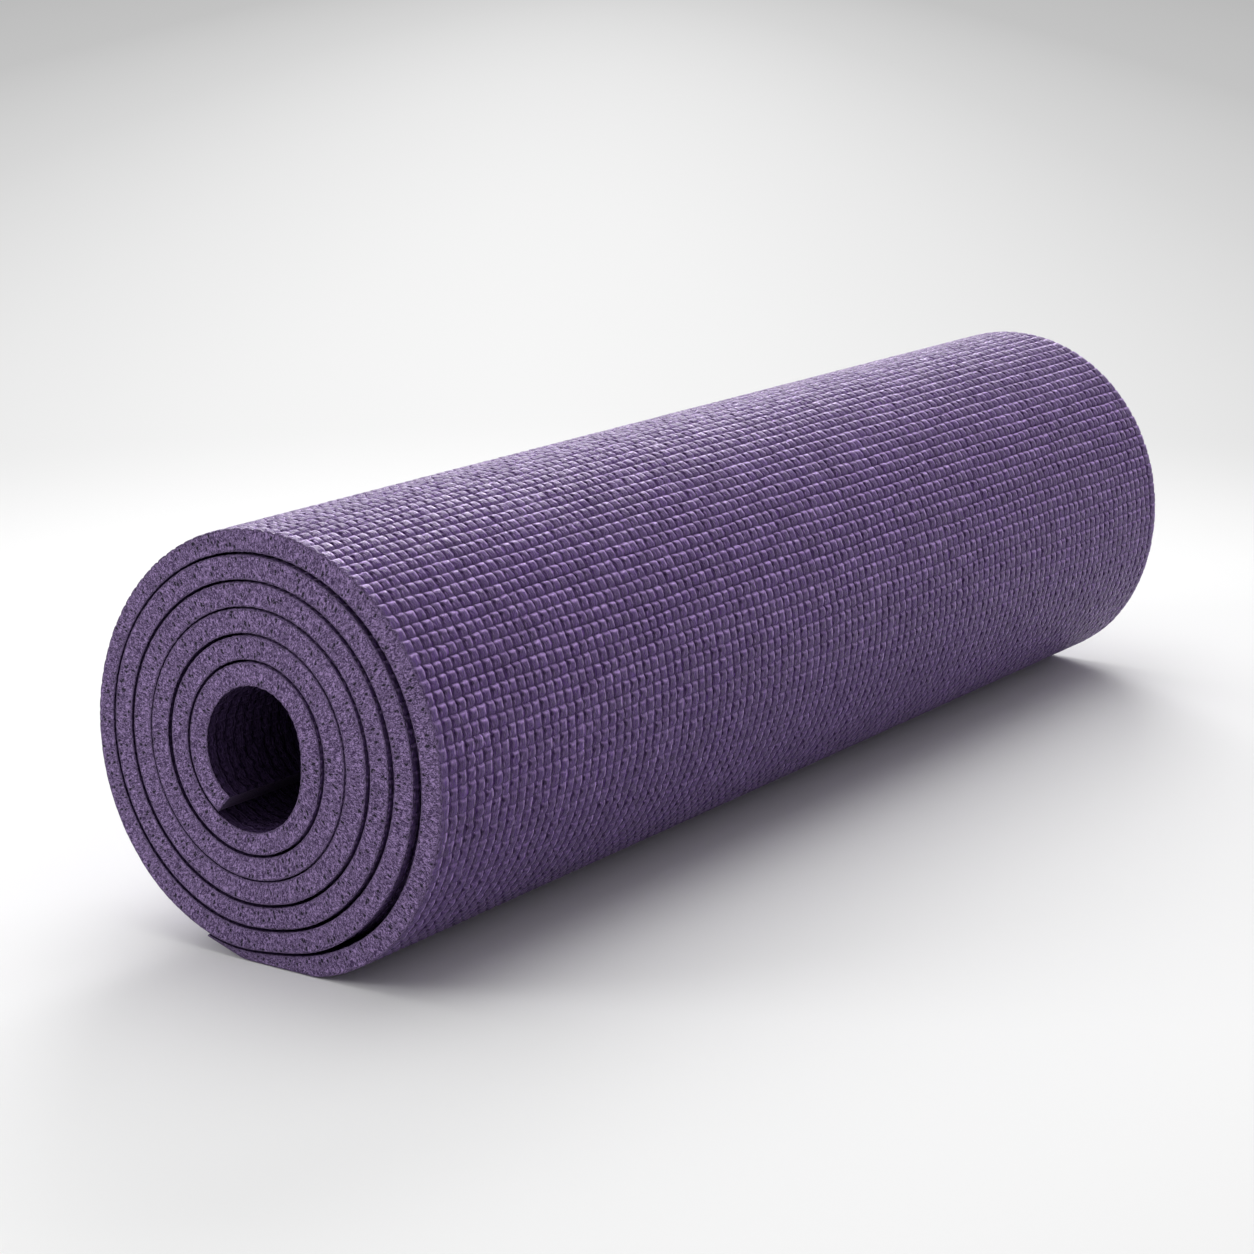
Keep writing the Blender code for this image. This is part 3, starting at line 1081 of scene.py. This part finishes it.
@dataclass
class SheetPiece:
    """One stretch of the foam sheet, a closed form between two row grooves."""

    name: str
    first_row: int
    last_row: int
    outer: Detail
    inner: Detail
    round_shares: tuple[float, ...]
    outer_rim: float = 1.0
    inner_rim: float = 0.35
    materials: list[Material] = field(default_factory=list)

    def face_grid(self, face: Face, rows: Array, shares: Array) -> tuple[Array, ...]:
        """Works out one face of the sheet on a grid, along the sheet by along the roll.

        Args:
            face: which face.
            rows: the row number of each line of points.
            shares: the place of each line across its row.

        Returns:
            Turn, radius, place along the roll, groove depth and place in knuckles of each point.
            The radius is the winding's own, less the relief on the outer face or plus it on the
            inner one.
        """
        relief = RELIEFS[face]
        detail = self.outer if face is Face.GROUND else self.inner
        rim = self.outer_rim if face is Face.GROUND else self.inner_rim
        cell, cell_share = SECTION.places(detail, relief.cells)
        edges = SECTION.cell_edges(relief.cells)
        row, row_share = rows[:, None], shares[:, None]
        cell, cell_share = cell[None], cell_share[None]
        across, along = row + row_share, cell + cell_share
        held = np.minimum(1, np.minimum(along, relief.cells - along))
        drift = relief.drift_along(row, row_share, cell) * held
        place = np.interp(along + drift, np.arange(relief.cells + 1), edges)
        turn = WINDING.turn_of((across + relief.wander_round(across, place)) * self.row_pitch())
        turn = np.where(across <= 0, 0.0, turn)
        turn = np.where(across >= relief.rows, WINDING.sheet_turns, turn)
        sunk = relief.depth(WINDING.angle_of(turn), row, row_share, cell, cell_share)
        near_rim = np.exp(-(((SECTION.half_width - np.abs(place)) / relief.rim_reach) ** 2))
        sunk = sunk * (1 - (1 - relief.rim_share * rim) * near_rim)
        inner, outer = WINDING.inner_radius(turn), WINDING.outer_radius(turn)
        sunk = sunk * np.clip((outer - inner) / relief.full_thickness, relief.thin_share, 1)
        radius = outer - sunk if face is Face.GROUND else inner + sunk
        depth = sunk / (relief.row_depth + relief.cell_depth)
        knuckle = np.broadcast_to(relief.cut_place(cell, cell_share), depth.shape)
        return turn, radius, place, depth, knuckle

    @staticmethod
    def row_pitch() -> float:
        """The length of the sheet's middle line that one row takes."""
        return float(WINDING.length_table[1][-1]) / RELIEFS[Face.GROUND].rows

    @staticmethod
    def end_grid(
        first: tuple[Array, ...], second: tuple[Array, ...], side: float
    ) -> tuple[Array, ...]:
        """Works out a cut end between the rims of two faces: an arris, a flat and an arris.

        Args:
            first: turn and radius at the rim that the loop comes from.
            second: turn and radius at the rim that it goes to.
            side: 1 for the far end, and -1 for the near one.

        Returns:
            Turn, radius, place along the roll, groove depth and place in knuckles of each point.
            Between the arrises the points lie on straight lines at the section's end shares.
        """
        (turn_a, radius_a), (turn_b, radius_b) = (
            [values[:, None] for values in rim] for rim in (first, second)
        )
        inwards = np.sign(radius_b - radius_a)
        edge, back = inwards * SECTION.edge, inwards * SECTION.edge * SECTION.edge_middle
        start, stop = radius_a + edge, radius_b - edge
        flat = start + (stop - start) * np.array(SECTION.end_shares)
        radius = np.concatenate([radius_a + back, flat, radius_b - back], axis=1)
        turn = turn_a + (turn_b - turn_a) * (radius - radius_a) / (radius_b - radius_a)
        place = np.full_like(radius, side * SECTION.half_width)
        place[:, [0, -1]] -= side * SECTION.edge * SECTION.edge_middle
        return turn, radius, place, np.zeros_like(radius), np.zeros_like(radius)

    def build(self) -> bpy.types.Object:
        """Carries the loop section along the winding and closes both cuts.

        Returns:
            The piece, at the origin, with its three materials, two attributes and two UV maps. The
            line past its last row is the next row's first, so that neighbouring pieces meet.
        """
        rows = np.repeat(np.arange(self.first_row, self.last_row), len(self.round_shares))
        shares = np.tile(np.array(self.round_shares), self.last_row - self.first_row)
        meets = self.last_row < RELIEFS[Face.GROUND].rows
        rows = np.append(rows, self.last_row if meets else self.last_row - 1)
        shares = np.append(shares, 0.0 if meets else 1.0)
        outer = self.face_grid(Face.GROUND, rows, shares)
        inner = tuple(grid[:, ::-1] for grid in self.face_grid(Face.PRACTICE, rows, shares))
        starts, stops = (
            [[grid[:, at] for grid in face[:2]] for face in (outer, inner)] for at in (0, -1)
        )
        far = self.end_grid(stops[0], starts[1], 1)
        near = self.end_grid(stops[1], starts[0], -1)
        parts = (outer, far, inner, near)
        turn, radius, place, sunk, knuckle = (
            np.concatenate(grids, axis=1) for grids in zip(*parts)
        )
        counts = [part[0].shape[1] for part in parts]
        angle = WINDING.angle_of(turn)
        x, z = WINDING.centre
        points = np.stack([x + radius * np.cos(angle), place, z + radius * np.sin(angle)], axis=-1)
        mesh = self.weld(points, counts)
        self.dress(mesh, turn, sunk, place, (rows + shares, knuckle), counts)
        piece = bpy.data.objects.new(self.name, mesh)
        bpy.context.scene.collection.objects.link(piece)
        return piece

    def weld(self, points: Array, counts: list[int]) -> Mesh:
        """Joins the grid of points into a closed mesh of quads, with triangles over each cut.

        Args:
            points: the grid, lines along the sheet by points round the loop.
            counts: how many points of the loop each of its four parts has.

        Returns:
            The mesh. A cut's triangles join outer and inner points in their order along the roll.
        """
        lines, loop = points.shape[:2]
        index = np.arange(lines * loop).reshape(lines, loop)
        after = np.roll(index, -1, axis=1)
        quads = np.stack([index[:-1], index[1:], after[1:], after[:-1]], axis=-1).reshape(-1, 4)
        caps = [
            self.cap(points[line], index[line], counts, turned)
            for line, turned in ((0, True), (-1, False))
        ]
        fans = [fan for fan, _ in caps]
        rings = [ring for _, ends in caps for ring in ends]
        corners = np.concatenate([quads.ravel(), *(fan.ravel() for fan in fans), *rings])
        sizes = np.concatenate([
            np.full(len(quads), 4), *(np.full(len(fan), 3) for fan in fans),
            [len(ring) for ring in rings],
        ])
        mesh = bpy.data.meshes.new(self.name)
        mesh.vertices.add(lines * loop)
        mesh.vertices.foreach_set("co", points.reshape(-1))
        mesh.loops.add(len(corners))
        mesh.loops.foreach_set("vertex_index", corners.astype(np.int32))
        mesh.polygons.add(len(sizes))
        mesh.polygons.foreach_set("loop_start", (np.cumsum(sizes) - sizes).astype(np.int32))
        smooth = np.zeros(len(sizes), bool)
        smooth[:len(quads)] = True
        mesh.polygons.foreach_set("use_smooth", smooth)
        mesh.update(calc_edges=True)
        mesh.validate()
        return mesh

    @staticmethod
    def cap(
        points: Array, index: Array, counts: list[int], turned: bool
    ) -> tuple[Array, list[Array]]:
        """Closes one cut: triangles between the two faces, and one polygon at each end of the roll.

        Args:
            points: the loop's points.
            index: their numbers in the mesh.
            counts: how many points each part of the loop has.
            turned: whether the cut faces towards the inner end of the sheet.

        Returns:
            The triangles and the two end polygons.
        """
        stops = np.cumsum(counts)
        outer, inner = index[:stops[0]], index[stops[1]:stops[2]][::-1]
        outer_y, inner_y = points[:stops[0], 1], points[stops[1]:stops[2], 1][::-1]
        from_outer = np.concatenate([np.ones(len(outer) - 1, bool), np.zeros(len(inner) - 1, bool)])
        order = np.argsort(np.concatenate([outer_y[1:], inner_y[1:]]), kind="stable")
        step = from_outer[order]
        at_outer, at_inner = np.cumsum(step), np.cumsum(~step)
        before_outer, before_inner = at_outer - step, at_inner - ~step
        third = np.where(step, outer[at_outer], inner[at_inner])
        triangles = np.stack([outer[before_outer], third, inner[before_inner]], axis=-1)
        far = index[stops[0] - 1:stops[1] + 1]
        near = np.append(index[stops[2] - 1:], index[0])
        if turned:
            return triangles, [far, near]
        return triangles[:, ::-1], [far[::-1], near[::-1]]

    def dress(
        self, mesh: Mesh, turn: Array, sunk: Array, place: Array, weave: tuple[Array, Array],
        counts: list[int],
    ) -> None:
        """Puts the two UV maps, the two attributes and the three materials on the mesh.

        Args:
            mesh: the closed mesh.
            turn: turn of each point.
            sunk: groove depth of each point.
            place: place along the roll of each point.
            weave: row of each line of points, and place in knuckles of each point.
            counts: how many points of the loop each of its four parts has.
        """
        width, thickness = 2 * SECTION.half_width, SECTION.thickness
        first, second, third = np.cumsum(counts)[:3]
        run = np.empty_like(place)
        run[:, :first] = place[:, :first] + SECTION.half_width
        run[:, first:second] = width + np.linspace(0, thickness, counts[1])
        run[:, second:third] = width + thickness + SECTION.half_width - place[:, second:third]
        run[:, third:] = 2 * width + thickness + np.linspace(0, thickness, counts[3])
        lines, loop = turn.shape
        corners = np.empty(len(mesh.loops), np.int32)
        mesh.loops.foreach_get("vertex_index", corners)
        closing = np.zeros((lines - 1, loop, 4), bool)
        closing[:, -1, 2:] = True
        sheet = np.stack([WINDING.length_of(turn), run], axis=-1).reshape(-1, 2)[corners]
        sheet[:closing.size][closing.ravel(), 1] = 2 * (width + thickness)
        rows, knuckles = np.broadcast_arrays(weave[0][:, None], weave[1])
        knuckles = np.stack([rows, knuckles], axis=-1).reshape(-1, 2)[corners]
        for name, places in (("sheet", sheet), ("knuckles", knuckles)):
            layer = mesh.uv_layers.new(name=name)
            layer.data.foreach_set("uv", places.astype(np.float32).ravel())
        relief = RELIEFS[Face.GROUND]
        near_rim = np.exp(-((SECTION.half_width - np.abs(place)) / relief.rim_reach) ** 2)
        # row_strength also weighs the skin's painted highlight arches and painted shade bands:
        # weaker where the face looks down and near the rims
        strength = relief.row_strength(WINDING.angle_of(turn))
        strength = strength * (1 - (1 - relief.rim_rows) * near_rim)
        for name, values in (("groove_depth", sunk), ("row_strength", strength)):
            mask = mesh.attributes.new(name, "FLOAT", "POINT")
            mask.data.foreach_set("value", values.astype(np.float32).ravel())
        for material in self.materials:
            mesh.materials.append(material)
        part = np.ones(loop, np.int32)
        part[:first - 1], part[second:third - 1] = 0, 2
        kinds = np.ones(len(mesh.polygons), np.int32)
        kinds[:(lines - 1) * loop] = np.tile(part, lines - 1)
        mesh.polygons.foreach_set("material_index", kinds)


@dataclass
class Mat:
    """The whole foam sheet: the pieces of the wound roll, those of the flap and the free end."""

    skin: SkinFinish = field(default_factory=SkinFinish)
    cut: CutFinish = field(default_factory=CutFinish)
    # The inner face's skin: a darker colour, partly guessed and partly painted shade for the bore,
    # with a faint painted highlight on its lips.
    inside: SkinFinish = SkinFinish(
        name="foam_inside", crest=(0.056, 0.033, 0.094), lip=(0.110, 0.072, 0.170),
        groove=(0.014, 0.007, 0.028), roughness=(0.80, 0.95), specular=0.15, sheen=0.0,
    )
    strips: int = 8
    bore_turns: float = 1.0
    under_flap_turns: float = 0.51
    hidden_rim: float = 0.35
    bore_rim: float = 0.8
    layers: tuple[str, ...] = ("practice_foam", "ground_foam")
    fine_shares: tuple[float, ...] = (0.0, 0.07, 0.18, 0.45, 0.75, 0.91)
    medium_shares: tuple[float, ...] = (0.0, 0.12, 0.50, 0.88)

    def row_at(self, turn: float) -> int:
        """The row groove nearest to this turn."""
        return round(float(WINDING.length_of(turn)) / SheetPiece.row_pitch())

    def cuts(self) -> list[int]:
        """The row grooves where the flap's pieces meet.

        Returns:
            Row numbers from the roll outwards, each amid a strip.
        """
        middle = WINDING.first_hinge - WINDING.strip / 2
        angles = [middle + number * WINDING.strip for number in range(self.strips + 2)]
        return [self.row_at(WINDING.turn_at(angle)) for angle in angles][::-1]

    def nodes(self, *stretches: str) -> list[str]:
        """The CAD's foam nodes of these stretches of the sheet."""
        return [f"{stretch}_{layer}" for stretch in stretches for layer in self.layers]

    def build(self) -> None:
        """Builds every piece, joins each piece that rides on one body to that body, and hides the
        CAD nodes that it stands for.
        """
        materials = [self.skin.build(), self.cut.build(), self.inside.build()]
        cuts = self.cuts()
        last = WINDING.last_turn
        turns = (self.bore_turns, last - self.under_flap_turns, last)
        bore, under, shown = (self.row_at(turn) for turn in turns)
        thirds = [shown + round((cuts[0] - shown) * share) for share in (0, 1 / 3, 2 / 3, 1)]
        shares, rim = self.medium_shares, self.hidden_rim
        fine, medium, coarse, hidden = Detail
        roll = [
            SheetPiece("mat_bore", 0, bore, hidden, medium, shares, rim, self.bore_rim),
            SheetPiece("mat_core", bore, under, hidden, hidden, shares, rim, rim),
            SheetPiece("mat_under_flap", under, shown, medium, hidden, shares, rim, rim),
        ]
        roll += [
            SheetPiece(f"mat_outside_{number}", first, last, fine, hidden, self.fine_shares)
            for number, (first, last) in enumerate(zip(thirds, thirds[1:]), 1)
        ]
        for piece in roll:
            self.place(piece, materials, ["roll"], self.nodes("roll"))
        strips = [f"flap_{number}" for number in range(self.strips, 0, -1)]
        bodies = ["roll", *strips, "free_end"]
        for number, (first, last) in enumerate(zip(cuts, cuts[1:]), 1):
            pair = bodies[number - 1:number + 1]
            name = f"mat_bend_{number}"
            piece = SheetPiece(name, first, last, fine, coarse, self.fine_shares)
            stretches = [body for body in pair if body != "roll"]
            self.place(piece, materials, pair, self.nodes(*stretches))
        rows = RELIEFS[Face.GROUND].rows
        end = SheetPiece("mat_free_end", cuts[-1], rows, fine, coarse, self.fine_shares)
        self.place(end, materials, ["free_end"], self.nodes("free_tip", "free_end"))

    def place(
        self, piece: SheetPiece, materials: list[Material], bodies: list[str], nodes: list[str]
    ) -> None:
        """Args:
            piece: the piece's sizes.
            materials: skin of the outer face, cut foam and skin of the inner face.
            bodies: the body that it rides on; a piece between two bodies is joined to neither.
            nodes: the CAD nodes that it stands for.
        """
        piece.materials = materials
        obj = piece.build()
        if len(bodies) == 1:
            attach(obj, bodies[0])
        else:
            start, end = (
                WINDING.middle_point(float(WINDING.turn_of(row * piece.row_pitch())))
                for row in (piece.first_row, piece.last_row)
            )
            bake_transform(obj)
        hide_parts(*nodes)
        faces = len(obj.data.polygons)
        LOG.info("%s: rows %d to %d, %d faces", piece.name, piece.first_row, piece.last_row, faces)


@dataclass
class Scrim:
    """The woven scrim inside the foam: the CAD nodes stay, with a woven material."""

    finish: ScrimFinish = field(default_factory=ScrimFinish)

    def build(self) -> None:
        """Gives every scrim node the woven material."""
        material = self.finish.build()
        for name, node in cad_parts.items():
            if name.endswith("_scrim"):
                node.data.materials.clear()
                node.data.materials.append(material)
                LOG.info("%s: woven material", name)


@dataclass
class Studio:
    """The pale floor, the soft lamps and the camera at the photograph's angle."""

    floor_size: float = 60.0
    floor_height: float = -0.0002
    floor_colour: Triple = (0.83, 0.83, 0.83)
    floor_roughness: float = 0.9
    floor_specular: float = 0.1
    glow_place: Triple = (-0.10, -0.07, 0.0)
    glow_reach: Triple = (2.4, 25.0, 1.0)
    # painted glow for the camera: pale near the roll and greyer far off, a painted falloff of light
    painted_glow_levels: tuple[Pair, ...] = (
        (0.0, 0.95), (0.045, 0.93), (0.10, 0.90), (0.20, 0.82), (0.35, 0.68), (0.55, 0.55),
        (1.0, 0.48),
    )
    fade: Pair = (0.36, 1.0)
    lens: float = 88.73
    sensor: float = 36.0
    yaw: float = math.radians(34.335)
    pitch: float = math.radians(13.841)
    eye: Triple = (0.75049, -1.15913, 0.41307)
    sky: float = 0.39
    shown_sky: float = 0.48
    mirrored_sky: float = 0.95
    clip_end: float = 200.0
    aim: Triple = (0.0, 0.0, 0.08)
    lamps: tuple[tuple[str, Triple, float, float], ...] = (
        ("key", (-0.28, 0.25, 2.4), 2.3, 39.0),
        ("back", (-1.85, 3.00, 2.10), 1.6, 78.0),
        ("front_fill", (-1.2, -1.5, 0.9), 0.9, 10.5),
    )

    def build(self) -> None:
        """Builds the floor, the world, the lamps and the camera."""
        self.build_floor()
        self.build_world()
        for lamp in self.lamps:
            self.build_lamp(*lamp)
        self.build_camera()
        LOG.info("studio: floor, world, lamps and camera")

    def build_floor(self) -> None:
        """The floor: one flat sheet that keeps the shadow near the roll and, for the camera, fades
        further off into a painted glow, pale near the roll and greyer far away.
        """
        half = self.floor_size / 2
        sides = ((-half, -half), (half, -half), (half, half), (-half, half))
        mesh = bpy.data.meshes.new("studio_floor")
        mesh.from_pydata([(x, y, self.floor_height) for x, y in sides], [], [(0, 1, 2, 3)])
        nodes = Finish("studio_floor")
        nodes.surface(
            self.floor_colour, Roughness=self.floor_roughness,
            Specular_IOR_Level=self.floor_specular,
        )
        place = nodes.add("ShaderNodeTexCoord")
        turned = nodes.add("ShaderNodeMapping", vector_type="TEXTURE")
        turned.inputs["Location"].default_value = self.glow_place
        turned.inputs["Rotation"].default_value = (0, 0, self.yaw)
        turned.inputs["Scale"].default_value = self.glow_reach
        nodes.join(place.outputs["Object"], turned.inputs["Vector"])
        away = nodes.vector("LENGTH", turned.outputs["Vector"])
        # painted glow that the camera sees in place of the lit floor away from the roll
        glow = nodes.add("ShaderNodeEmission")
        nodes.join(nodes.ramp(away, *self.painted_glow_levels), glow.inputs["Color"])
        fade = nodes.step(nodes.vector("LENGTH", place.outputs["Object"]), *self.fade)
        path = nodes.add("ShaderNodeLightPath")
        mixed = nodes.add("ShaderNodeMixShader")
        nodes.join(nodes.math("MULTIPLY", fade, path.outputs["Is Camera Ray"]), mixed.inputs[0])
        nodes.join(nodes.shader.outputs["BSDF"], mixed.inputs[1])
        nodes.join(glow.outputs["Emission"], mixed.inputs[2])
        nodes.join(mixed.outputs["Shader"], nodes.tree.nodes["Material Output"].inputs["Surface"])
        floor = bpy.data.objects.new("studio_floor", mesh)
        mesh.materials.append(nodes.material)
        bpy.context.scene.collection.objects.link(floor)

    def build_world(self) -> None:
        """The world: a plain soft light, and a pale background for camera and glossy rays."""
        world = bpy.data.worlds.new("studio")
        world.use_nodes = True
        bpy.context.scene.world = world
        graph = Graph(world.node_tree)
        graph.tree.nodes.clear()
        path = graph.add("ShaderNodeLightPath")
        level: object = self.sky
        shown, mirrored = self.shown_sky, self.mirrored_sky
        for ray, strength in (("Camera", shown), ("Glossy", mirrored), ("Transmission", mirrored)):
            step = graph.add("ShaderNodeMix")
            graph.join(path.outputs[f"Is {ray} Ray"], step.inputs["Factor"])
            graph.join(level, step.inputs["A"])
            graph.join(strength, step.inputs["B"])
            level = step.outputs["Result"]
        light = graph.add("ShaderNodeBackground")
        light.inputs["Color"].default_value = (1, 1, 1, 1)
        graph.join(level, light.inputs["Strength"])
        graph.join(light.outputs[0], graph.add("ShaderNodeOutputWorld").inputs["Surface"])

    def build_lamp(self, name: str, place: Triple, size: float, power: float) -> None:
        """A square soft lamp that faces the aim, a point near the middle of the roll.

        Args:
            name: the lamp's name.
            place: where it stands, in metres.
            size: its side.
            power: its strength in watts.
        """
        lamp = bpy.data.lights.new(name, "AREA")
        lamp.size = size
        lamp.energy = power
        obj = bpy.data.objects.new(name, lamp)
        obj.location = place
        x, y, z = np.array(place) - np.array(self.aim)
        obj.rotation_euler = (math.atan2(math.hypot(x, y), z), 0, math.atan2(x, -y))
        bpy.context.scene.collection.objects.link(obj)

    def build_camera(self) -> None:
        """The camera, turned by the yaw and tipped down by the pitch."""
        camera = bpy.data.cameras.new("camera")
        camera.lens = self.lens
        camera.sensor_width = self.sensor
        camera.clip_end = self.clip_end
        obj = bpy.data.objects.new("camera", camera)
        obj.location = self.eye
        obj.rotation_euler = (math.pi / 2 - self.pitch, 0, self.yaw)
        bpy.context.scene.collection.objects.link(obj)
        bpy.context.scene.camera = obj


def main() -> None:
    logging.basicConfig(level=logging.INFO, format="%(name)s: %(message)s")
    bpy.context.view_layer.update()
    bpy.context.scene.view_settings.view_transform = "Standard"
    Studio().build()
    Mat().build()
    Scrim().build()
    bpy.context.view_layer.update()


if __name__ == "__main__":
    main()
